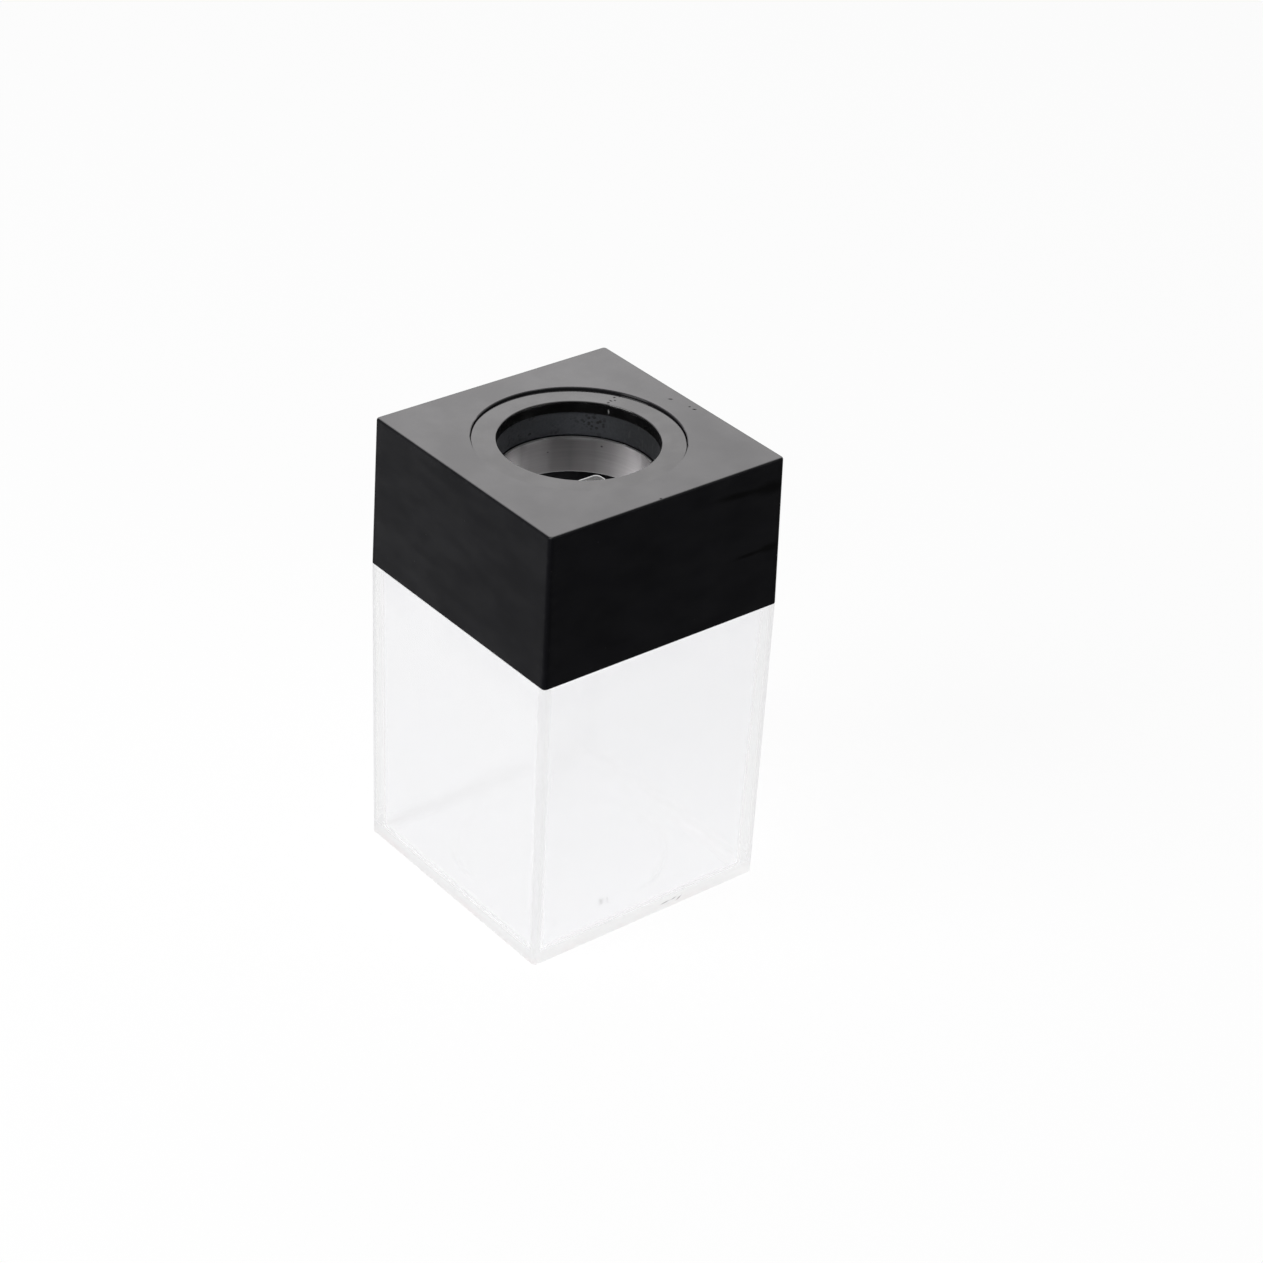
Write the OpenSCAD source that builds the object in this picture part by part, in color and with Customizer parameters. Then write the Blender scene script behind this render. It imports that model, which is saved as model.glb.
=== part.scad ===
// Magnetic paper clip holder: a clear square box with a black cap.
// A ring magnet in the cap's pocket holds the clips round a round mouth.
// Origin: centre of the underside. Z is up, and the sides face along X and Y.

/* [Overall] */
// Outside width where the cap meets the box, which is the widest place
width = 41; // [39:0.5:60]
// Height of the closed holder
height = 70; // [62:1:110]
// Height of the cap
cap_h = 23.3; // [20:0.1:32]
// Radius of the upright outside corners
corner_r = 0.6; // [0.5:0.1:4]
// Radius round the top and bottom edges
edge_r = 0.35; // [0.2:0.05:0.5]
// Radius of the two edges that meet at the seam
seam_r = 0.12; // [0.05:0.01:0.2]

/* [Clear box] */
// How far each side leans in from the seam down to the underside, which is its draft
box_draft = 0.3; // [0.1:0.05:1.5]
// Thickness of the walls
box_wall = 1.6; // [1.3:0.1:3]
// Thickness of the floor
floor_t = 1.5; // [1:0.1:4]
// Height of the lip that goes up inside the cap
lip_h = 2.9; // [1.5:0.1:5]
// Radius of the inside corners and of the edge round the floor
inner_r = 0.8; // [0.3:0.1:3]
// Diameter of the round recess in the underside, whose rim slopes
recess_d = 29.8; // [10:0.1:34]
// Depth of the round recess in the underside
recess_depth = 0.3; // [0.1:0.1:0.5]
// Diameter of the mark that the mould's gate left in the middle of the underside
gate_d = 2.6; // [1:0.1:6]
// Depth of the gate's mark above the recess, whose side slopes twice as far as it is deep
gate_depth = 0.1; // [0.05:0.05:0.2]

/* [Cap] */
// How far each side leans in from the seam up to the top, which is its draft
cap_draft = 0.35; // [0.1:0.05:1.5]
// Thickness of the cap's walls above the lip
cap_wall = 1.6; // [1.3:0.1:3]
// Thickness of the cap's top
top_t = 1.6; // [1:0.1:3]
// Thickness of the skirt outside the lip
skirt_t = 0.8; // [0.5:0.05:1]
// Thickness of the wall round the magnet pocket
pocket_wall = 1.5; // [1:0.1:2]
// Thickness of the ledge under the magnet
ledge_t = 1.6; // [1:0.1:3]
// How much narrower the neck's bore is than the mouth, on each side
neck_step = 0.05; // [0:0.05:0.5]
// Thickness of the neck's wall
neck_wall = 1.5; // [1:0.1:2]
// Length of the neck's bore, from the magnet's seat down
neck_l = 5.7; // [3.5:0.1:9]
// Width broken off the edges at the two ends of the neck's bore
neck_edge = 0.15; // [0.05:0.05:0.3]
// Width broken off the edge of the pocket in the cap's top
pocket_edge = 0.1; // [0.05:0.01:0.2]

/* [Magnet and retaining ring] */
// Diameter of the mouth, which is the hole in the retaining ring
mouth_d = 22.9; // [16:0.1:25]
// How far the magnet's hole stands back from the mouth, on each side
magnet_setback = 0.25; // [0.1:0.05:1]
// Width of the ring magnet, from its hole to its outside
magnet_w = 3.2; // [2:0.1:4.5]
// Thickness of the ring magnet
magnet_t = 3.8; // [2:0.1:7]
// Radius broken off the magnet's edges
magnet_edge = 0.25; // [0.1:0.05:0.5]
// Thickness of the retaining ring
ring_t = 1.8; // [1:0.1:3]
// Depth of the retaining ring below the cap's top face
ring_sink = 0.4; // [0.1:0.05:1]
// Radius of the retaining ring's edges
ring_edge = 0.15; // [0.05:0.05:0.3]

/* [Clearances] */
// Gap on each side between the lip and the cap's skirt
lip_fit = 0.1; // [0.05:0.01:0.2]
// Gap above the lip when the cap rests on the shoulder
lip_head_gap = 0.2; // [0.1:0.05:0.5]
// Gap on each side between the magnet and its pocket
magnet_fit = 0.1; // [0.05:0.01:0.2]
// Gap on each side between the retaining ring and the pocket
ring_fit = 0.05; // [0.02:0.01:0.15]

/* [Hidden] */

// Height of the seam between the box and the cap
seam_z = height - cap_h;
// Outside widths at the underside and at the cap's top
foot_w = width - 2 * box_draft;
cap_top_w = width - 2 * cap_draft;
// Outside width of the lip, and of the rabbet that it fits
lip_w = width - 2 * (skirt_t + lip_fit);
rabbet_w = width - 2 * skirt_t;
// Inside widths of the box at its mouth and at its floor
box_mouth_w = width - 2 * box_wall;
box_floor_w = foot_w - 2 * box_wall;
// Radii of the upright corners of the lip and of the rabbet
lip_corner_r = inner_r + (lip_w - box_mouth_w) / 2;
rabbet_corner_r = lip_corner_r + lip_fit;

// Round sizes, from the mouth outwards
neck_d = mouth_d - 2 * neck_step;
magnet_bore = mouth_d + 2 * magnet_setback;
magnet_d = magnet_bore + 2 * magnet_w;
pocket_d = magnet_d + 2 * magnet_fit;
ring_d = pocket_d - 2 * ring_fit;
// Heights in the pocket, from the cap's top face down to the neck's end
ring_top_z = height - ring_sink;
ring_z = ring_top_z - ring_t;
magnet_z = ring_z - magnet_t;
neck_end_z = magnet_z - neck_l;

// How far a cut runs past the face that it opens
cut = 1;
// Least corner radius left where an edge is rounded
least_r = 0.05;
// Steps in a rounded edge, in an edge at the seam, in a rounded corner, and round a full circle
edge_steps = 4;
seam_steps = 2;
corner_steps = 6;
$fn = 128;

box_colour = [0.93, 0.95, 0.97, 0.35];
cap_colour = [0.06, 0.06, 0.07];
magnet_colour = [0.22, 0.22, 0.24];
ring_colour = [0.10, 0.10, 0.11];

// One level of a lofted square: its height, its width and the radius of its corners.
// The points run counter-clockwise from the +X side, seen from above.
function level_points(level) = [
    for (quarter = [0 : 3], step = [0 : corner_steps])
        let (
            r = max(level[2], least_r),
            half = level[1] / 2 - r,
            turn = 90 * (quarter + step / corner_steps),
            side_x = (quarter == 0 || quarter == 3) ? 1 : -1,
            side_y = quarter < 2 ? 1 : -1
        )
        [side_x * half + r * cos(turn), side_y * half + r * sin(turn), level[0]]
];

// Levels that round an edge of radius r at height z, inwards as the angle grows.
// up is 1 where the edge turns in towards a top face, and -1 towards an underside.
function edge_levels(z, w, corner, r, up, steps = edge_steps) = [
    for (step = [0 : steps])
        let (
            turn = 90 * step / steps,
            inset = r * (1 - cos(turn))
        )
        [z - up * r * (1 - sin(turn)), w - 2 * inset, corner - inset]
];

function backwards(list) = [for (i = [len(list) - 1 : -1 : 0]) list[i]];

// A closed solid through a list of levels, lowest first.
module loft(levels) {
    around = 4 * (corner_steps + 1);
    count = len(levels);
    points = [for (level = levels) each level_points(level)];
    sides = [
        for (k = [0 : count - 2], j = [0 : around - 1])
            let (next = (j + 1) % around)
            [k * around + j, (k + 1) * around + j, (k + 1) * around + next, k * around + next]
    ];
    underside = [for (j = [0 : around - 1]) j];
    top = [for (j = [around - 1 : -1 : 0]) (count - 1) * around + j];
    polyhedron(points = points, faces = concat([underside], sides, [top]), convexity = 4);
}

// A square outline with rounded corners, centred.
module rounded_square(w, r) {
    square([w - 2 * r, w], center = true);
    square([w, w - 2 * r], center = true);
    for (x = [-1, 1], y = [-1, 1]) {
        translate([x * (w / 2 - r), y * (w / 2 - r)]) circle(r);
    }
}

// The corner of a revolved outline, rounded by a radius r. The two signs say on which
// sides of the corner the solid's corner circle has its centre.
function rounded_point(x, y, r, side_x, side_y, steps = 4) = [
    for (step = [0 : steps])
        let (turn = 90 * step / steps)
        (side_x * side_y > 0)
            ? [x + side_x * r * (1 - cos(turn)), y + side_y * r * (1 - sin(turn))]
            : [x + side_x * r * (1 - sin(turn)), y + side_y * r * (1 - cos(turn))]
];

// A flat ring of rectangular section with rounded edges, standing on z.
module edged_ring(outer_d, bore_d, t, r, z) {
    translate([0, 0, z]) rotate_extrude() polygon(concat(
        rounded_point(bore_d / 2, 0, r, 1, 1),
        rounded_point(outer_d / 2, 0, r, -1, 1),
        rounded_point(outer_d / 2, t, r, -1, -1),
        rounded_point(bore_d / 2, t, r, 1, -1)
    ));
}

// Outside of the clear box up to the lip's top, nearly as wide as the cap above the seam.
module box_outside() {
    loft(concat(
        backwards(edge_levels(0, foot_w, corner_r, edge_r, -1)),
        edge_levels(seam_z, width, corner_r, seam_r, 1, seam_steps),
        [[seam_z + lip_h, width - 2 * seam_r, corner_r - seam_r]]
    ));
}

// Hollow of the clear box, open at the top.
module box_hollow() {
    loft(concat(
        backwards(edge_levels(floor_t, box_floor_w, inner_r + edge_r, inner_r, -1)),
        [
            [seam_z, box_mouth_w, inner_r],
            [seam_z + lip_h + cut, box_mouth_w, inner_r]
        ]
    ));
}

// The shoulder outside the lip, cut down to the seam.
module shoulder_cut() {
    translate([0, 0, seam_z]) linear_extrude(lip_h + cut) difference() {
        square(width + 2 * cut, center = true);
        rounded_square(lip_w, lip_corner_r);
    }
}

// A shallow round recess that opens downwards at height z, where its diameter is d. Its
// side slopes in by the width slope up to its roof, and runs on as far below z.
module sloped_recess(z, d, depth, slope) {
    translate([0, 0, z - depth])
        cylinder(h = 2 * depth, d1 = d + 2 * slope, d2 = d - 2 * slope);
}

module clear_box() {
    color(box_colour) difference() {
        box_outside();
        box_hollow();
        shoulder_cut();
        sloped_recess(0, recess_d, recess_depth, recess_depth);
        sloped_recess(recess_depth, gate_d, gate_depth, 2 * gate_depth);
    }
}

module cap_outside() {
    loft(concat(
        backwards(edge_levels(seam_z, width, corner_r, seam_r, -1, seam_steps)),
        edge_levels(height, cap_top_w, corner_r, edge_r, 1)
    ));
}

// Hollow of the cap above the lip, drafted like its outside.
module cap_hollow() {
    seam_in = width - 2 * cap_wall;
    top_in = cap_top_w - 2 * cap_wall;
    loft(concat(
        [[seam_z - cut, seam_in, inner_r]],
        edge_levels(height - top_t, top_in, inner_r + edge_r, inner_r, 1)
    ));
}

// Room for the box's lip inside the skirt.
module lip_rabbet() {
    translate([0, 0, seam_z - cut]) linear_extrude(cut + lip_h + lip_head_gap)
        rounded_square(rabbet_w, rabbet_corner_r);
}

// Wall of the pocket, its ledge and the neck, hanging from the cap's top.
module pocket_and_neck() {
    wall_r = pocket_d / 2 + pocket_wall;
    neck_r = neck_d / 2 + neck_wall;
    ledge_z = magnet_z - ledge_t;
    translate([0, 0, ledge_z]) cylinder(h = height - top_t / 2 - ledge_z, r = wall_r);
    translate([0, 0, neck_end_z]) cylinder(h = ledge_z - neck_end_z + ledge_t / 2, r = neck_r);
}

// Cone that breaks the edge of a bore of diameter d at height z by the width w. up is 1
// where the bore opens upwards and -1 where it opens downwards.
module broken_edge(z, d, w, up) {
    translate([0, 0, z - w])
        cylinder(h = 2 * w, d1 = d + (1 - up) * 2 * w, d2 = d + (1 + up) * 2 * w);
}

// What the magnet, the retaining ring and the clips go through.
module pocket_and_neck_bore() {
    translate([0, 0, magnet_z]) cylinder(h = height - magnet_z + cut, d = pocket_d);
    translate([0, 0, neck_end_z - cut]) cylinder(h = neck_l + 2 * cut, d = neck_d);
    broken_edge(height, pocket_d, pocket_edge, 1);
    broken_edge(magnet_z, neck_d, neck_edge, 1);
    broken_edge(neck_end_z, neck_d, neck_edge, -1);
}

module cap() {
    color(cap_colour) difference() {
        union() {
            difference() {
                cap_outside();
                cap_hollow();
                lip_rabbet();
            }
            pocket_and_neck();
        }
        pocket_and_neck_bore();
    }
}

module ring_magnet() {
    color(magnet_colour) edged_ring(magnet_d, magnet_bore, magnet_t, magnet_edge, magnet_z);
}

module retaining_ring() {
    color(ring_colour) edged_ring(ring_d, mouth_d, ring_t, ring_edge, ring_z);
}

clear_box();
cap();
ring_magnet();
retaining_ring();
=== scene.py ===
"""Studio picture of a magnetic paper clip holder: a clear square box under a black cap.

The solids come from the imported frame, and this script gives them their finishes, a floor,
soft light and the camera. Lengths are in metres and angles in degrees, except where a comment
says otherwise.
"""

import math

import bpy
from mathutils import Matrix, Vector


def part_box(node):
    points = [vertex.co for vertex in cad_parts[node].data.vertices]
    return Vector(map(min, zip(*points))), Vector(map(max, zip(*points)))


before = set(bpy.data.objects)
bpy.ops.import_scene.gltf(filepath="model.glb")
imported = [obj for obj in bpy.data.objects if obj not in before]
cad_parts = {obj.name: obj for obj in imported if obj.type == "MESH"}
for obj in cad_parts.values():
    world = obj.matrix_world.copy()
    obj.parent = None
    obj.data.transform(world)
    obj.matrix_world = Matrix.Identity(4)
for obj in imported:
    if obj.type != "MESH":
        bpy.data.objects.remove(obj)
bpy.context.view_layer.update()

MM = 0.001

# Camera, found by fitting the object's corners in the photograph
CAMERA_AZIMUTH = -39.94
CAMERA_ELEVATION = 31.65
CAMERA_ROLL = 3.18
CAMERA_DISTANCE = 457.7 * MM
CAMERA_TARGET = Vector((10.92, -0.49, 35.0)) * MM
CAMERA_NEAR = 0.01
CAMERA_FAR = 10.0
# These two are in millimetres, as the camera takes them
SENSOR_WIDTH = 36.0
FOCAL_LENGTH = 89.8

# How many surfaces light passes or strikes before it is dropped
BOUNCES = 48
SEE_THROUGH_BOUNCES = 32

# Levels of light, where 1 makes a white surface white: the sky as it is seen, and as it lights
WHITE = 1.0
SKY_LIGHT = 0.15

# The floor: how white it looks, the share of that which no shadow dims, and the share that it sends
# into rough clear plastic
FLOOR_WHITE = 1.05
FLOOR_GLOW = 0.88
FLOOR_INTO_PLASTIC = 0.6
# How much of a lamp's light it throws back
FLOOR_COLOUR = 0.9
# How bright gloss shows it, at the first Y and at the second, and it changes evenly between them
FLOOR_FADE_Y = (-60 * MM, -22 * MM)
FLOOR_FADE = (0.3, 0.93)
# Half its width, and the hair of air between it and the box
FLOOR_HALF = 1.5
FLOOR_GAP = 0.02 * MM

# Polystyrene, clear and black
PLASTIC_IOR = 1.59
# Haze in the clear one, whose milkiness is a painted glow: its density per metre, and the level of light
# that it glows at where it is thick
HAZE = 110.0
HAZE_LEVEL = 0.905
# Share of a lamp's light that one surface of the box lets through to its shadow
SHADOW_LIGHT = 0.93
# Painted glow of the frosted foot, standing in for the light that it scatters, and the pink of the painted
# reflections in dashes along its edge
FOOT_PAINTED_GLOW = 0.030
FOOT_PINK_REFLECTION = (1.0, 0.94, 0.945, 1.0)
# The black one mirrors with its coat, and hardly with the body under it
BODY_MIRROR = 0.025
COAT_ROUGHNESS = 0.1
# Colours of the neck's bore and of the magnet where the grey of their painted reflection and painted shade
# is 1, and of the card behind the cap
NECK_PALE = (1.0, 0.965, 0.975, 1.0)
FERRITE_PALE = (0.115, 0.124, 0.142, 1.0)
CARD_TINT = (1.0, 0.965, 0.98)

# Sizes of the solids that the finishes go by
CAP_LOW, CAP_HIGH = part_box("cap")
CAP_TOP = CAP_HIGH[2]
SEAM = CAP_LOW[2]
HALF_WIDTH = CAP_HIGH[0]
NECK_RADIUS = 11.4 * MM
MAGNET_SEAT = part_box("ring_magnet")[0][2]
RING_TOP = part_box("retaining_ring")[1][2]
# Middle of the retaining ring's inner wall, and a radius just outside that wall
RING_WALL_MIDDLE = RING_TOP - 1.1 * MM
RING_WALL_RADIUS = 12.0 * MM
# How far in from its widest place a side of the cap can lie, as it leans
SIDE_DEPTH = 0.55 * MM

# Direction of the weld line across the retaining ring
WELD_TURN = 31.0
# Direction across the mouth along which reflection and shade are painted, and the greys along it, as
# (millimetres from the axis, grey): a painted reflection in the neck's bore, dark in the middle and bright
# at both ends, and painted light and shade on the magnet, lightest in the middle and darkest to the right
ACROSS_TURN = -40.0
NECK_REFLECTION_GREYS = (
    (-9.6, 0.75), (-8.2, 0.28), (-7.0, 0.20), (-4.8, 0.17), (-3.9, 0.13), (-1.4, 0.105),
    (2.0, 0.155), (4.3, 0.27), (6.5, 0.46), (8.8, 0.80), (10.4, 1.0),
)
MAGNET_SHADE_GREYS = ((-10.0, 0.46), (-6.0, 0.62), (-1.0, 0.72), (3.0, 0.50), (7.0, 0.24), (10.0, 0.20))

# Marks are ovals: two numbers for the place, then half length, half width and turn, in millimetres
# and degrees. The place is in X and Y on the cap's top and on the box's floor
TOP_PITS = (
    (17.7, 1.9, 0.50, 0.26, -40.0),
    (18.6, -2.4, 0.46, 0.26, -40.0),
    (18.5, -1.4, 0.30, 0.22, 0.0),
    (-1.4, -19.75, 0.35, 0.20, 0.0),
)
FLOOR_MARKS = (
    (-12.6, -14.0, 0.20, 0.20, 0.0),
    (-3.9, -13.8, 0.9, 0.18, 20.0),
    (-2.9, -14.0, 0.25, 0.22, 0.0),
)
# In X and Z, on the sides that face -Y: dark marks on the box, and dull smudges on the cap
SIDE_MARKS = (
    (6.2, 1.1, 0.9, 0.16, 30.0),
    (5.2, 1.4, 0.8, 0.14, 10.0),
    (3.6, 1.3, 1.3, 0.14, 5.0),
)
SMUDGES = (
    (18.0, 66.0, 4.2, 1.5, -3.0),
    (12.0, 66.5, 5.5, 0.8, -4.0),
    (20.3, 67.0, 1.0, 2.2, 0.0),
    (18.4, 56.4, 2.8, 1.0, -2.0),
    (14.6, 56.4, 3.6, 0.45, 0.0),
)
# Along and across the weld line
WELD_CRUMBS = (
    (15.0, -0.1, 0.25, 0.30, 0.0),
    (14.4, -0.5, 0.24, 0.18, 0.0),
    (13.9, 0.1, 0.32, 0.24, 0.0),
    (13.1, -0.3, 0.26, 0.20, 0.0),
    (12.7, 0.2, 0.42, 0.24, 60.0),
    (12.0, 0.3, 0.34, 0.28, 0.0),
)
# Across the mouth, and up from the magnet's seat
NECK_PITS = ((3.0, -1.2, 0.25, 0.2, 0.0), (-4.6, -2.3, 0.2, 0.12, 0.0))
MAGNET_CHIPS = (
    (1.8, 2.2, 3.2, 1.9, 0.0),
    (-1.05, 0.35, 0.5, 0.45, 0.0),
    (-7.2, 1.2, 0.8, 0.5, 0.0),
)


class Wire:
    """One output of a shader tree. Arithmetic on it adds Math nodes to the same tree."""

    def __init__(self, finish, socket):
        self.finish = finish
        self.socket = socket

    def maths(self, operation, *values):
        """What a Math node makes of the values."""
        return self.finish.add("ShaderNodeMath", {"operation": operation}, dict(enumerate(values)))

    def __add__(self, other):
        return self.maths("ADD", self, other)

    __radd__ = __add__

    def __sub__(self, other):
        return self.maths("SUBTRACT", self, other)

    def __rsub__(self, other):
        return self.maths("SUBTRACT", other, self)

    def __mul__(self, other):
        return self.maths("MULTIPLY", self, other)

    __rmul__ = __mul__

    def __truediv__(self, other):
        return self.maths("DIVIDE", self, other)

    def __abs__(self):
        return self.maths("ABSOLUTE", self)

    def root(self):
        """Its square root."""
        return self.maths("SQRT", self)

    def larger(self, other):
        """The larger of the two."""
        return self.maths("MAXIMUM", self, other)

    def smaller(self, other):
        """The smaller of the two."""
        return self.maths("MINIMUM", self, other)


class Finish:
    """A material, or the world, while its nodes are put together."""

    def __init__(self, owner):
        self.owner = owner
        owner.use_nodes = True
        self.tree = owner.node_tree
        self.tree.nodes.clear()

    def add(self, kind, settings=None, sockets=None, output=0):
        """Adds a node, sets its settings, fills its sockets with values or wires, and gives one output."""
        node = self.tree.nodes.new(kind)
        for name, value in (settings or {}).items():
            setattr(node, name, value)
        for name, value in (sockets or {}).items():
            if isinstance(value, Wire):
                self.tree.links.new(value.socket, node.inputs[name])
            else:
                node.inputs[name].default_value = value
        return Wire(self, node.outputs[output]) if node.outputs else None

    def ramp(self, value, stops):
        """The grey of the (value in millimetres, grey) stops, changing evenly between them."""
        low, high = stops[0][0], stops[-1][0]
        wire = self.add("ShaderNodeValToRGB", sockets={0: (value / MM - low) / (high - low)})
        elements = wire.socket.node.color_ramp.elements
        while len(elements) < len(stops):
            elements.new(1.0)
        for element, (place, level) in zip(elements, stops):
            element.position = (place - low) / (high - low)
            element.color = grey(level)
        return wire

    def place(self):
        """Object coordinates in metres."""
        return self.add("ShaderNodeTexCoord", output="Object")

    def axes(self, vector):
        """The three numbers of a vector."""
        node = self.add("ShaderNodeSeparateXYZ", sockets={0: vector}).socket.node
        return [Wire(self, node.outputs[i]) for i in range(3)]

    def stretched(self, vector, size, stretch):
        """The vector in steps of size metres, times the stretch along each axis."""
        return self.add(
            "ShaderNodeVectorMath", {"operation": "MULTIPLY"},
            {0: vector, 1: [s / size for s in stretch]},
        )

    def noise(self, vector, size, detail=2.0, roughness=0.5, stretch=(1, 1, 1)):
        """Noise from 0 to 1 whose features are about size metres across."""
        return self.add(
            "ShaderNodeTexNoise", {"noise_dimensions": "3D"},
            {
                "Vector": self.stretched(vector, size, stretch),
                "Scale": 1.0, "Detail": detail, "Roughness": roughness,
            },
        )

    def specks(self, vector, spacing, radius):
        """1 inside small round specks about spacing metres apart, and 0 elsewhere."""
        distance = self.add(
            "ShaderNodeTexVoronoi", {"feature": "F1", "voronoi_dimensions": "3D"},
            {"Vector": self.stretched(vector, spacing, (1, 1, 1)), "Scale": 1.0},
            output="Distance",
        )
        return self.step_down(distance, radius / spacing, 0.3 * radius / spacing)

    def step_up(self, value, edge, soft):
        """0 below edge and 1 above it, with a smooth step of width 2 * soft."""
        return self.add(
            "ShaderNodeMapRange", {"interpolation_type": "SMOOTHSTEP"},
            {"Value": value, "From Min": edge - soft, "From Max": edge + soft},
        )

    def step_down(self, value, edge, soft):
        """1 below edge and 0 above it, with a smooth step of width 2 * soft."""
        return 1.0 - self.step_up(value, edge, soft)

    def hump(self, value, middle, half):
        """1 at the middle, falling smoothly to 0 at half either side of it."""
        return self.step_down(abs(value - middle), 0.5 * half, 0.5 * half)

    def spot(self, x, y, middle, half_length, half_width, turn):
        """1 in the middle of an oval spot, and 0 from its edge outwards. Its length lies turn from X."""
        c, s = math.cos(math.radians(turn)), math.sin(math.radians(turn))
        along = ((x - middle[0]) * c + (y - middle[1]) * s) / half_length
        across = ((y - middle[1]) * c - (x - middle[0]) * s) / half_width
        return self.step_down((along * along + across * across).root(), 0.6, 0.4)

    def spots(self, x, y, marks):
        """All of the marks together, which are written in millimetres."""
        total = 0.0
        for mark_x, mark_y, half_length, half_width, turn in marks:
            middle = (mark_x * MM, mark_y * MM)
            total = self.spot(x, y, middle, half_length * MM, half_width * MM, turn) + total
        return total.smaller(1.0)

    def between(self, value, low, high):
        """A 0 to 1 value spread from low to high."""
        return value * (high - low) + low

    def blend(self, factor, first, second):
        """A colour between first and second."""
        return self.add(
            "ShaderNodeMix", {"data_type": "RGBA"},
            {"Factor": factor, 6: first, 7: second}, output=2,
        )

    def bump(self, height, depth, normal=None):
        """A normal from a 0 to 1 height that stands for depth metres."""
        sockets = {"Height": height, "Strength": 1.0, "Distance": depth}
        if normal is not None:
            sockets["Normal"] = normal
        return self.add("ShaderNodeBump", sockets=sockets)

    def rays(self, *names):
        """The largest of the named outputs of the light path: 1 for a kind of ray, or its depth."""
        path = self.add("ShaderNodeLightPath").socket.node
        found = Wire(self, path.outputs[names[0]])
        for name in names[1:]:
            found = found.larger(Wire(self, path.outputs[name]))
        return found

    def solid(self, sockets):
        """Ends the material with one Principled shader."""
        shader = self.add("ShaderNodeBsdfPrincipled", sockets=sockets)
        self.add("ShaderNodeOutputMaterial", sockets={"Surface": shader})
        return self.owner

    def black(self, base, roughness, gloss, normal, metal=0.0):
        """Ends the material as black plastic, whose clear coat mirrors by gloss."""
        return self.solid({
            "Base Color": base,
            "Metallic": metal,
            "Roughness": roughness,
            "Specular IOR Level": BODY_MIRROR,
            "Coat Weight": gloss,
            "Coat Roughness": COAT_ROUGHNESS,
            "Coat IOR": PLASTIC_IOR,
            "Normal": normal,
        })


def grey(level, blue=0.0):
    """A neutral colour, a little bluer by the given amount."""
    return (level, level, level + blue, 1.0)


def side_distance(x, y):
    """Distance from the axis towards the nearest side. It is HALF_WIDTH on the widest place of a side."""
    return abs(x).larger(abs(y))


def corner_distance(x, y):
    """The smaller distance from the axis along X and Y, which is large only at an upright corner."""
    return abs(x).smaller(abs(y))


def across_mouth(x, y):
    """Distance from the axis across the mouth, to the right as the picture shows it."""
    turn = math.radians(ACROSS_TURN)
    return x * math.cos(turn) + y * math.sin(turn)


def top_shine(f, x, y):
    """How much of its gloss the cap's top keeps, a little less to the right."""
    return 1.0 - 0.11 * f.step_up(across_mouth(x, y), 12 * MM, 12 * MM)


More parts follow.
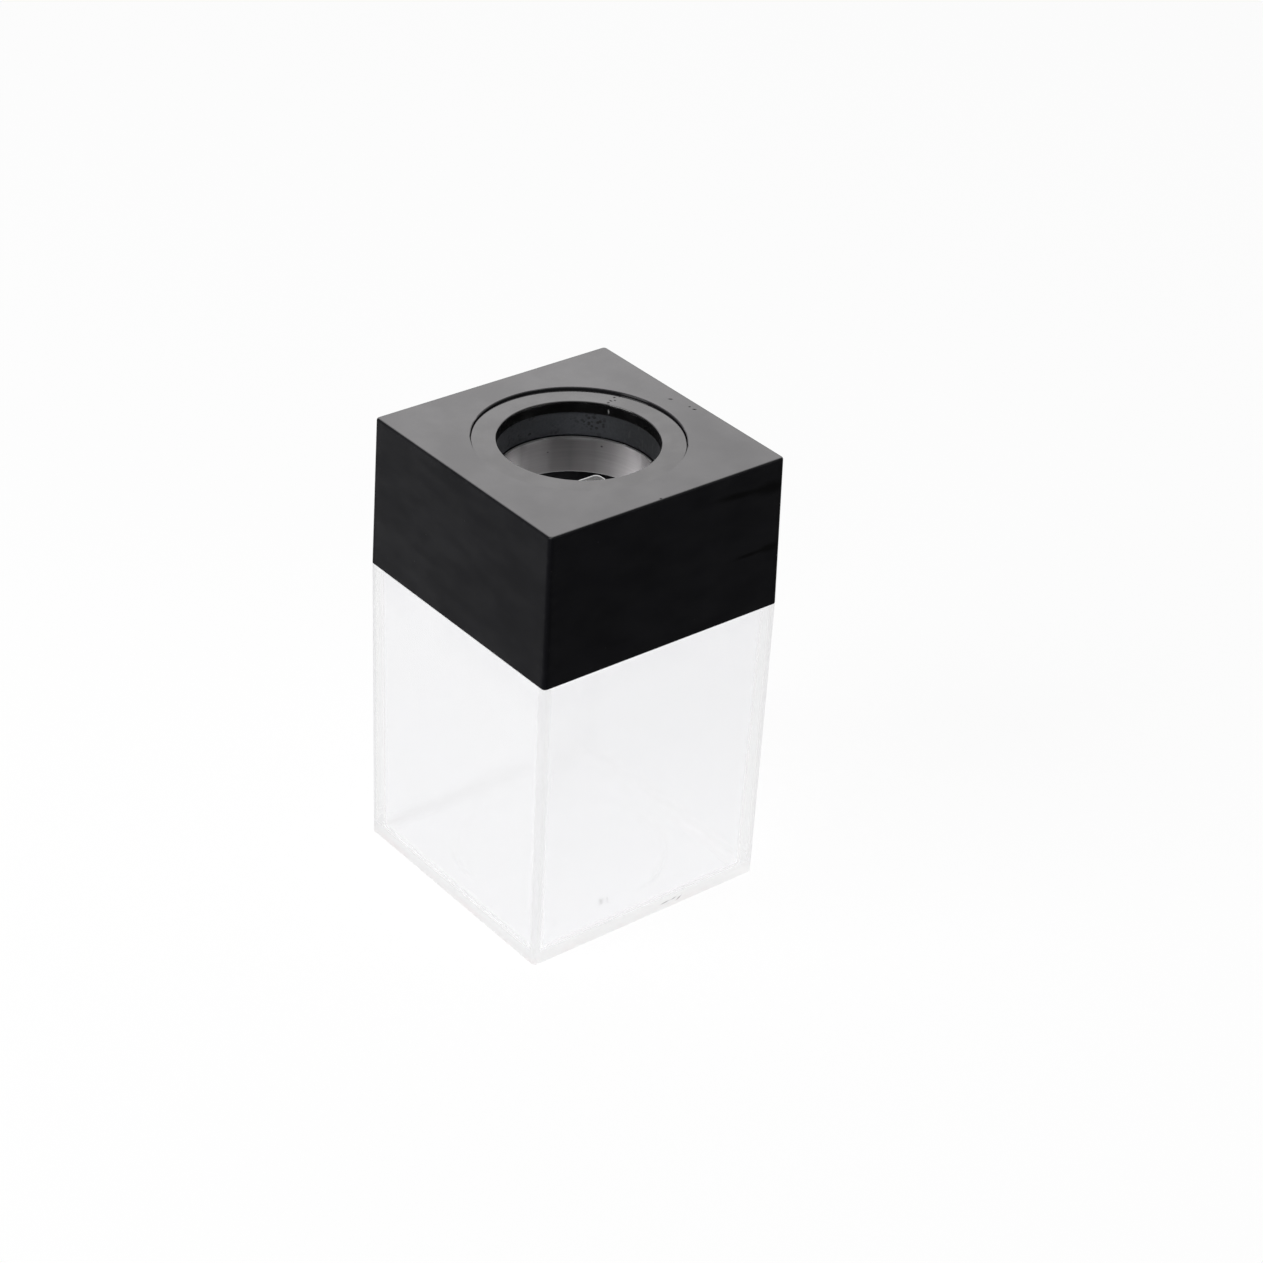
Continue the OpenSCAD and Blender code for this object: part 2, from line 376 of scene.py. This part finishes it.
def black_plastic():
    """Glossy black moulding of the cap. Its top mirrors fully, its outer sides only a little, through
    a greasy film, and its inside not at all. The neck's bore is satin, with fine turning marks and a
    painted reflection across the mouth, dark in its middle and bright at both ends."""
    f = Finish(bpy.data.materials.new("black_plastic"))
    place = f.place()
    x, y, z = f.axes(place)
    radius = (x * x + y * y).root()
    across = across_mouth(x, y)
    # The outer sides, the inside, and the neck's bore below the magnet's seat
    side = f.step_up(side_distance(x, y), HALF_WIDTH - SIDE_DEPTH, 0.1 * MM)
    inside = f.step_down(z, MAGNET_SEAT - 0.5 * MM, 0.1 * MM)
    neck = f.step_down(radius, NECK_RADIUS + 0.3 * MM, 0.1 * MM)
    neck = neck * f.step_down(z, MAGNET_SEAT - 0.15 * MM, 0.05 * MM)
    clouds = f.noise(place, 9 * MM, detail=4.0, roughness=0.6)
    smears = f.noise(place, 6 * MM, detail=3.0, stretch=(1.0, 0.8, 2.4))
    fine = f.noise(place, 0.8 * MM, detail=4.0, roughness=0.6)
    turning = f.noise(place, 0.25 * MM, detail=3.0, stretch=(0.02, 0.02, 1.0))
    dust = f.specks(place, 2.6 * MM, 0.06 * MM)
    pits = f.spots(x, y, TOP_PITS) * (1.0 - side)
    smudges = f.spots(x, z, SMUDGES) * f.step_down(y, SIDE_DEPTH - HALF_WIDTH, 0.1 * MM)

    base = f.blend(clouds, grey(0.0075, 0.0012), grey(0.0105, 0.0026))
    base = f.blend(smudges * 0.85, base, grey(0.003))
    base = f.blend(dust * 0.4, base, grey(0.10))
    # The bore's grey is a painted reflection across the mouth, with its turning marks and pits in it
    bore = f.ramp(across, NECK_REFLECTION_GREYS) * f.between(turning, 0.86, 1.14)
    bore = bore * (1.0 - f.spots(across, z - MAGNET_SEAT, NECK_PITS) * 0.8)
    base = f.blend(neck, base, f.blend(bore, grey(0.0), NECK_PALE))

    # The sides mirror less at the smudges, at the upright corners and round the front one
    film = f.between(f.step_up(smears * 0.6 + clouds * 0.4, 0.5, 0.16), 0.04, 0.118)
    film = film * (1.0 - smudges * 0.7)
    film = film * f.step_down(corner_distance(x, y), HALF_WIDTH - 0.9 * MM, 0.4 * MM)
    film = film * (1.0 - 0.25 * f.step_down(x + y, -24 * MM, 14 * MM))
    # Scuffs along all edges of the sides
    rims = f.step_up(abs(z - (CAP_TOP + SEAM) / 2), (CAP_TOP - SEAM) / 2 - 1.0 * MM, 0.9 * MM)
    scuffs = rims.larger(f.step_up(corner_distance(x, y), HALF_WIDTH - 1.8 * MM, 0.7 * MM))
    scuffs = scuffs * f.step_up(f.noise(place, 1.0 * MM, detail=3.0, roughness=0.6), 0.58, 0.05)
    film = film + scuffs * 0.05
    top = f.between(f.step_up(smears * 0.5 + clouds * 0.5, 0.5, 0.15), 0.88, 1.0)
    top = (1.0 - side) * (1.0 - inside) * top * top_shine(f, x, y)

    # Faint waves with a shallow sink round the magnet's pocket, then fine grain, then the pits
    sink = f.hump(radius, 17.0 * MM, 1.6 * MM)
    waves = f.bump(f.noise(place, 9 * MM) - sink, 0.006 * MM)
    grain = f.bump(fine * (1.0 - neck) + turning * neck * 3.0, 0.0008 * MM, waves)
    return f.black(
        base=base,
        roughness=f.between(fine, 0.16, 0.26) + dust * 0.3 + neck * 0.14,
        gloss=(side * film + top) * (1.0 - pits),
        normal=f.bump(1.0 - pits, 0.08 * MM, grain),
        metal=neck,
    )


def ring_plastic():
    """The same black plastic on the retaining ring, with a weld line across it and fine marks round it,
    and a painted highlight where the weld line crosses the inner wall.
    """
    f = Finish(bpy.data.materials.new("ring_plastic"))
    place = f.place()
    x, y, z = f.axes(place)
    radius = (x * x + y * y).root()
    clouds = f.noise(place, 5 * MM, detail=4.0, roughness=0.6)
    fine = f.noise(place, 0.6 * MM, detail=4.0, roughness=0.6)
    dust = f.specks(place, 1.9 * MM, 0.05 * MM)
    # The weld line wanders a little, and runs outwards on one side of the mouth only
    turn = math.radians(WELD_TURN)
    along = x * math.cos(turn) + y * math.sin(turn)
    across = y * math.cos(turn) - x * math.sin(turn)
    across = across + f.between(fine, -0.15 * MM, 0.15 * MM)
    outward = f.step_up(along, 0.0, MM)
    weld = f.hump(across, 0.0, 0.16 * MM) * outward
    crumbs = f.spots(along, across, WELD_CRUMBS)
    lumps = f.noise(place, 0.55 * MM, detail=2.0) * f.hump(across, 0.0, 1.6 * MM) * outward
    # On the inner wall it has a painted highlight, a pale dash
    mouth = f.step_down(radius, RING_WALL_RADIUS, 0.1 * MM)
    weld_highlight = weld * f.hump(z, RING_WALL_MIDDLE, 0.5 * MM) * mouth
    wall = mouth * f.step_down(z, RING_TOP - 0.3 * MM, 0.15 * MM)
    low = f.step_down(z, RING_WALL_MIDDLE, 0.5 * MM)

    base = f.blend(clouds, grey(0.004), grey(0.008, 0.0006))
    base = f.blend(dust * 0.4, base, grey(0.12))
    base = f.blend(low, base, f.blend(clouds, grey(0.001), grey(0.010)))
    base = f.blend(weld_highlight, base, grey(0.4))
    shine = f.between(f.step_up(clouds, 0.5, 0.15), 0.90, 1.0)
    shine = shine * (1.0 - wall * 0.95) * top_shine(f, x, y)
    circles = f.noise(f.add("ShaderNodeCombineXYZ", sockets={0: radius}), 0.3 * MM, detail=3.0)
    height = fine * 0.15 + circles * 0.15 + weld * 1.2 + lumps * 2.5 - crumbs * 4.0
    return f.black(
        base=base,
        roughness=f.between(fine, 0.2, 0.3) + dust * 0.3,
        gloss=shine * (1.0 - crumbs * 0.9),
        normal=f.bump(height, 0.012 * MM),
    )


def ferrite():
    """Dull blue-grey sintered ferrite, with a patch of small dark pores and a few pale scuffs. Across
    the mouth it has painted light and shade, lightest in the middle and darkest to the right.
    """
    f = Finish(bpy.data.materials.new("ferrite"))
    place = f.place()
    x, y, z = f.axes(place)
    across = across_mouth(x, y)
    grain = f.noise(place, 0.35 * MM, detail=5.0, roughness=0.7)
    patches = f.noise(place, 2.5 * MM, detail=3.0)
    chips = f.spots(across, z - MAGNET_SEAT, MAGNET_CHIPS)
    pores = f.specks(place, 0.55 * MM, 0.23 * MM) * (f.step_up(patches, 0.6, 0.05) * 0.5).larger(chips)
    scuffs = f.step_up(f.noise(place, 0.5 * MM, detail=3.0, stretch=(1.0, 1.0, 0.15)), 0.66, 0.04)
    # Painted light and shade across the mouth, in the ferrite's blue-grey
    base = f.blend(f.ramp(across, MAGNET_SHADE_GREYS), grey(0.0), FERRITE_PALE)
    base = f.blend(f.between(grain, 0.0, 0.7), base, grey(0.012))
    base = f.blend(scuffs * 0.2, base, grey(0.10))
    base = f.blend(pores * 0.95, base, grey(0.002))
    return f.solid({
        "Base Color": base,
        "Roughness": f.between(grain, 0.55, 0.85),
        "Specular IOR Level": 0.3,
        "Normal": f.bump(grain * 0.5 - pores, 0.04 * MM),
    })


def clear_plastic():
    """Clear polystyrene, a little milky and dulled, with softly frosted corners, foot and lip. Its
    milkiness is a painted glow through the plastic, and its foot has a painted glow on two of its sides.
    """
    f = Finish(bpy.data.materials.new("clear_plastic"))
    place = f.place()
    x, y, z = f.axes(place)
    clouds = f.noise(place, 11 * MM, detail=2.0)
    fine = f.noise(place, 2.0 * MM, detail=2.0)
    corner = f.step_up(corner_distance(x, y), HALF_WIDTH - 1.25 * MM, 0.25 * MM)
    rim = f.step_up(side_distance(x, y), HALF_WIDTH - 2.9 * MM, 0.4 * MM)
    foot = f.step_down(z, 2.4 * MM, 0.3 * MM) * rim
    lip = f.step_up(z, SEAM + 0.3 * MM, 0.1 * MM)
    frost = corner.larger(foot).larger(lip * 0.7)
    front = f.step_down(x + y, -1 * MM, 4 * MM)
    dust = f.specks(place, 5.0 * MM, 0.10 * MM)
    marks = f.spots(x, y, FLOOR_MARKS) * f.step_down(z, 1.9 * MM, 0.1 * MM)
    marks = marks + f.spots(x, z, SIDE_MARKS) * f.step_down(y, 1.0 * MM - HALF_WIDTH, 0.1 * MM)

    # Clouded walls, with painted shade below the seam, and painted reflections as pink dashes on a paler
    # band along the edge that the box stands on
    seam_shade = f.step_up(z, SEAM - 4.0 * MM, 3.0 * MM) * f.step_up(clouds, 0.45, 0.15)
    edge = f.step_down(z, 1.2 * MM, 0.3 * MM)
    edge = edge * f.step_up(side_distance(x, y), HALF_WIDTH - 0.9 * MM, 0.3 * MM)
    pink_reflections = f.step_up(f.noise(place, 2.4 * MM, detail=3.0, stretch=(0.6, 0.6, 1.5)), 0.52, 0.06)
    base = f.blend(clouds, grey(0.976, 0.012), grey(0.991, 0.004))
    base = f.blend(seam_shade, base, grey(0.955, 0.012))
    base = f.blend(edge, base, f.blend(pink_reflections, grey(1.0), FOOT_PINK_REFLECTION))
    base = f.blend(dust * 0.5, base, grey(0.6))
    base = f.blend(marks, base, grey(0.12))
    shader = f.add("ShaderNodeBsdfPrincipled", sockets={
        "Base Color": base,
        "Roughness": f.blend(frost, f.between(clouds, 0.10, 0.16), f.between(fine, 0.4, 0.5)),
        "IOR": PLASTIC_IOR,
        "Transmission Weight": 1.0,
        # A painted glow on the foot's sides towards -X and -Y
        "Emission Color": f.blend(foot * front, grey(0.0), grey(FOOT_PAINTED_GLOW)),
        "Emission Strength": 1.0,
        "Normal": f.bump(clouds, 0.003 * MM),
    })
    shade = f.add("ShaderNodeBsdfTransparent", sockets={"Color": grey(SHADOW_LIGHT)})
    surface = f.add("ShaderNodeMixShader", sockets={0: f.rays("Is Shadow Ray"), 1: shader, 2: shade})
    # The haze takes light away and gives a painted glow of its own for it, evenly through the plastic
    clearing = f.add("ShaderNodeVolumeAbsorption", sockets={"Color": grey(0.0), "Density": HAZE})
    haze_glow = f.add("ShaderNodeEmission", sockets={"Color": grey(1.0), "Strength": HAZE * HAZE_LEVEL})
    haze = f.add("ShaderNodeAddShader", sockets={0: clearing, 1: haze_glow})
    f.add("ShaderNodeOutputMaterial", sockets={"Surface": surface, "Volume": haze})
    # The foot's painted glow is seen, but isn't searched for as a lamp
    f.owner.cycles.emission_sampling = "NONE"
    return f.owner


def floor_paint():
    """White floor that keeps part of the object's shadow. In gloss it fades from back to front."""
    f = Finish(bpy.data.materials.new("floor_white"))
    y = f.axes(f.place())[1]
    fade = f.add("ShaderNodeMapRange", sockets={
        "Value": y, "From Min": FLOOR_FADE_Y[0], "From Max": FLOOR_FADE_Y[1],
        "To Min": FLOOR_FADE[0], "To Max": FLOOR_FADE[1],
    })
    # Rough plastic takes the floor as a lamp. No kind of ray tells that, but its depth does
    into_plastic = f.rays("Transmission Depth").smaller(1.0) * FLOOR_INTO_PLASTIC
    seen = f.rays("Is Camera Ray", "Is Transmission Ray").larger(into_plastic)
    gloss = f.rays("Is Glossy Ray")
    paint = f.add("ShaderNodeBsdfDiffuse", sockets={"Color": grey(FLOOR_COLOUR)})
    level = (seen * FLOOR_WHITE).larger(gloss * fade)
    glow = f.add("ShaderNodeEmission", sockets={"Color": grey(1.0), "Strength": level})
    share = seen.larger(gloss) * FLOOR_GLOW
    surface = f.add("ShaderNodeMixShader", sockets={0: share, 1: paint, 2: glow})
    f.add("ShaderNodeOutputMaterial", sockets={"Surface": surface})
    return f.owner


def make_floor():
    """One large square, just under the box."""
    mesh = bpy.data.meshes.new("floor")
    signs = ((-1, -1), (1, -1), (1, 1), (-1, 1))
    corners = [(sx * FLOOR_HALF, sy * FLOOR_HALF, -FLOOR_GAP) for sx, sy in signs]
    mesh.from_pydata(corners, [], [(0, 1, 2, 3)])
    mesh.materials.append(floor_paint())
    floor = bpy.data.objects.new("floor", mesh)
    bpy.context.scene.collection.objects.link(floor)


def make_sky():
    """White all round for what shows the background, and dimmer as a light."""
    world = bpy.data.worlds.new("sky")
    bpy.context.scene.world = world
    f = Finish(world)
    seen = f.rays("Is Camera Ray", "Is Glossy Ray", "Is Transmission Ray")
    strength = f.between(seen, SKY_LIGHT, WHITE)
    sky = f.add("ShaderNodeBackground", sockets={"Color": grey(1.0), "Strength": strength})
    f.add("ShaderNodeOutputWorld", sockets={"Surface": sky})


def toward(azimuth, elevation):
    """The direction from the object at the given angles. Azimuth 0 is the -Y side and 90 the +X side."""
    turn, rise = math.radians(azimuth), math.radians(elevation)
    return Vector((math.sin(turn) * math.cos(rise), -math.cos(turn) * math.cos(rise), math.sin(rise)))


def soft_box(name, azimuth, elevation, distance, width, height, power, tilt, colour=(1.0, 1.0, 1.0)):
    """An area lamp of power watts per square metre, at the given angles and distance from the middle
    of the cap's top. It shines back along its azimuth, tilted down by tilt."""
    data = bpy.data.lights.new(name, "AREA")
    data.shape = "RECTANGLE"
    data.size, data.size_y = width, height
    data.energy = power * width * height
    data.color = colour
    lamp = bpy.data.objects.new(name, data)
    lamp.location = Vector((0, 0, CAP_TOP)) + toward(azimuth, elevation) * distance
    lamp.rotation_mode = "QUATERNION"
    lamp.rotation_quaternion = (-toward(azimuth, tilt)).to_track_quat("-Z", "Y")
    bpy.context.scene.collection.objects.link(lamp)


def make_lamps():
    """A card close behind the cap, which its top mirrors, a lamp to the left and one overhead."""
    soft_box(
        "back_card", azimuth=140.0, elevation=41.85, distance=127.4 * MM,
        width=160 * MM, height=110 * MM, power=3.45, tilt=0.0, colour=CARD_TINT,
    )
    soft_box(
        "left_key", azimuth=-100.0, elevation=35.0, distance=0.80,
        width=0.40, height=0.40, power=21.0, tilt=35.0,
    )
    soft_box(
        "overhead", azimuth=60.0, elevation=80.0, distance=1.20,
        width=1.00, height=1.00, power=2.4, tilt=80.0,
    )


def make_camera():
    """The photograph's camera, whose level frame is turned by its roll."""
    back, roll = toward(CAMERA_AZIMUTH, CAMERA_ELEVATION), math.radians(CAMERA_ROLL)
    right = Vector((0, 0, 1)).cross(back).normalized()
    up = back.cross(right)
    tilted_right = math.cos(roll) * right + math.sin(roll) * up
    tilted_up = math.cos(roll) * up - math.sin(roll) * right
    data = bpy.data.cameras.new("camera")
    data.sensor_width = SENSOR_WIDTH
    data.lens = FOCAL_LENGTH
    data.clip_start = CAMERA_NEAR
    data.clip_end = CAMERA_FAR
    camera = bpy.data.objects.new("camera", data)
    turned = Matrix((tilted_right, tilted_up, back)).transposed().to_4x4()
    camera.matrix_world = Matrix.Translation(CAMERA_TARGET + back * CAMERA_DISTANCE) @ turned
    bpy.context.scene.collection.objects.link(camera)
    bpy.context.scene.camera = camera


def dress(node, material):
    """Gives a CAD node its finish."""
    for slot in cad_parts[node].material_slots:
        slot.material = material


make_camera()
make_floor()
make_sky()
make_lamps()

dress("cap", black_plastic())
dress("retaining_ring", ring_plastic())
dress("ring_magnet", ferrite())
dress("clear_box", clear_plastic())

bpy.context.scene.view_settings.view_transform = "Standard"
bpy.context.scene.cycles.transparent_max_bounces = SEE_THROUGH_BOUNCES
bpy.context.scene.cycles.max_bounces = BOUNCES
bpy.context.scene.cycles.glossy_bounces = BOUNCES
bpy.context.scene.cycles.transmission_bounces = BOUNCES
